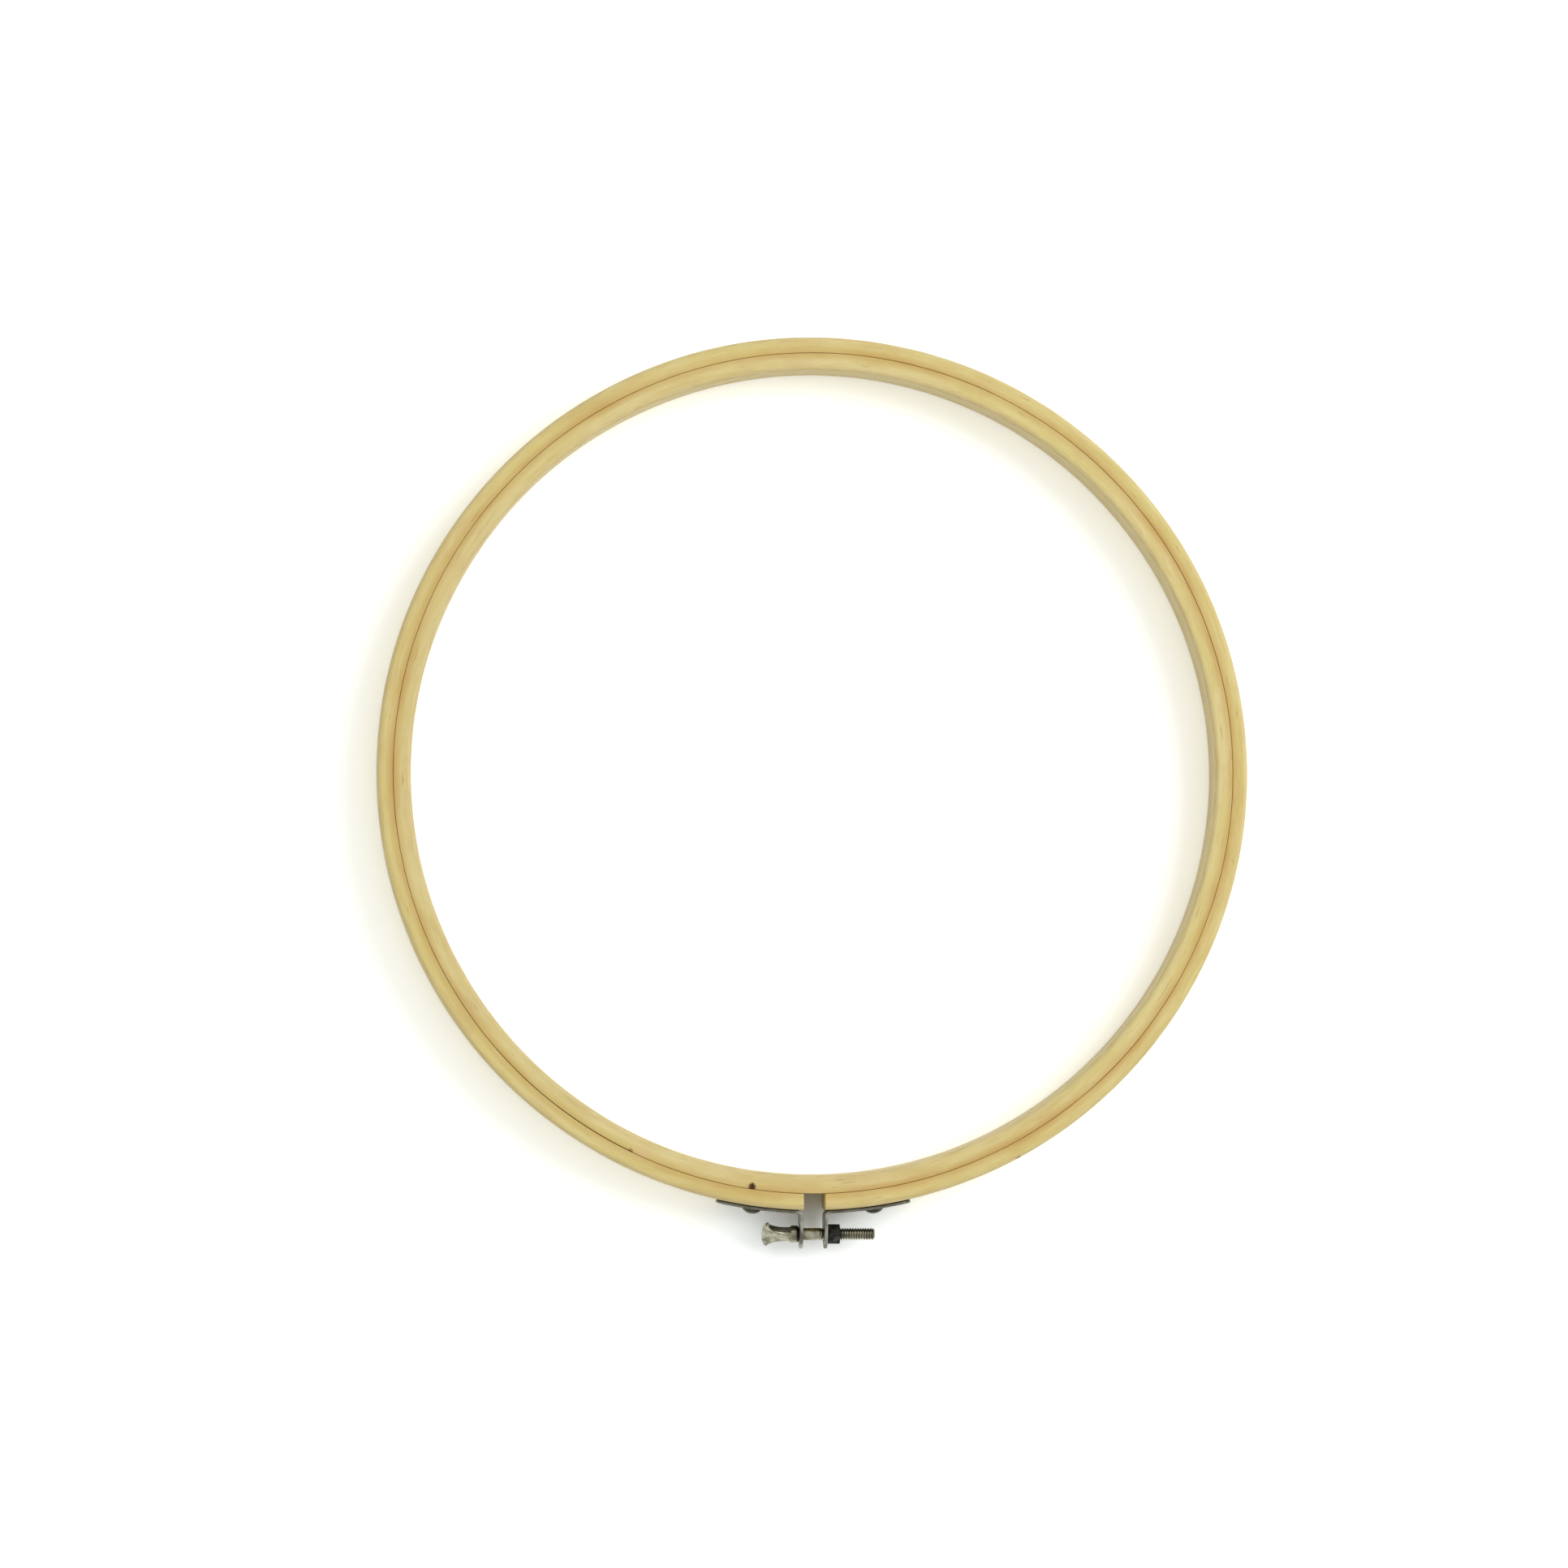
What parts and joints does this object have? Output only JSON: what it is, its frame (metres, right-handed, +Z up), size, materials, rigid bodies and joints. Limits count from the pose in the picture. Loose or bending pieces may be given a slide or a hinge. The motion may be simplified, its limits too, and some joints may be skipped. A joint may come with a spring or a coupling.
{
  "type": "embroidery hoop",
  "caption": "Round bamboo embroidery hoop: a closed inner hoop inside a split outer hoop, which a thumb screw and nut draw shut on the cloth.",
  "frame": {"origin": "centre of the hoops, on their axis and midway up their height", "axes": "+Z up the hoops' axis; the split and its screw at -Y; the screw lies along X, head at -X and nut at +X"},
  "size_m": [0.1352, 0.1413, 0.009],
  "materials": {
    "bamboo": "bare sanded bamboo",
    "plated_steel": "dull nickel plate",
    "rivet_steel": "tarnished plate",
    "screw_steel": "dull nickel plate",
    "dark_steel": "dark oxide"
  },
  "bodies": {
    "left_half": {"outer_hoop_left": "bamboo", "bracket_left": "plated_steel", "rivet_left": "rivet_steel"},
    "right_half": {"outer_hoop_right": "bamboo", "bracket_right": "plated_steel", "rivet_right": "rivet_steel"},
    "thumb_screw": {"thumb_screw": "screw_steel"},
    "nut": {"nut": "dark_steel"},
    "inner_hoop": {"inner_hoop": "bamboo"}
  },
  "joints": [
    {"name": "clamp_open", "type": "hinge", "parent": "left_half", "child": "right_half", "pos_m": [0, 0.06765, 0], "axis": [0, 0, 1], "range_deg": [0, 2.06]},
    {"name": "thumb_screw_turn", "type": "hinge", "parent": "left_half", "child": "thumb_screw", "pos_m": [0, -0.07142, 0], "axis": [-1, 0, 0], "range_deg": [0, 4500]},
    {"name": "nut_travel", "type": "slide", "parent": "left_half", "child": "nut", "axis": [1, 0, 0], "range_m": [0, 0.005]},
    {"name": "inner_hoop_lift", "type": "slide", "parent": "left_half", "child": "inner_hoop", "axis": [0, 0, 1], "range_m": [0, 0.02]}
  ],
  "couplings": [
    {"joint": "thumb_screw_turn", "follows": "clamp_open", "ratio": 2184.5},
    {"joint": "nut_travel", "follows": "clamp_open", "m_per_rad": 0.13907}
  ]
}
